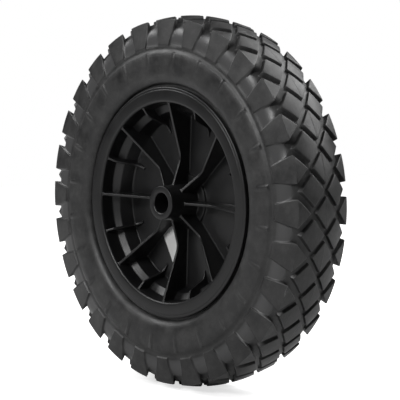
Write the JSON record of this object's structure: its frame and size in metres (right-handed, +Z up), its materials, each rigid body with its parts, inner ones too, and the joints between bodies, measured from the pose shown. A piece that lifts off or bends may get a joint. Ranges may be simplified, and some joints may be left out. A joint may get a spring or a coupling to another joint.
{
  "type": "wheelbarrow wheel",
  "caption": "Puncture-proof wheelbarrow wheel, 364 mm across: a solid foam tyre with a diamond block tread moulded round a one-piece ribbed plastic rim with a 20 mm axle bore.",
  "frame": {"origin": "centre of the wheel, on the axle bore's axis, midway between the two flanges", "axes": "+Y along the axle, away from the side that the picture shows; +Z up with the wheel standing on its tread"},
  "size_m": [0.3642, 0.076, 0.3642],
  "materials": {
    "tyre_foam": "satin moulded skin",
    "rim_plastic": "fine moulded grain",
    "label_paper": "matt"
  },
  "bodies": {
    "root": {"tyre": "tyre_foam", "rim": "rim_plastic", "label": "label_paper"}
  },
  "joints": []
}
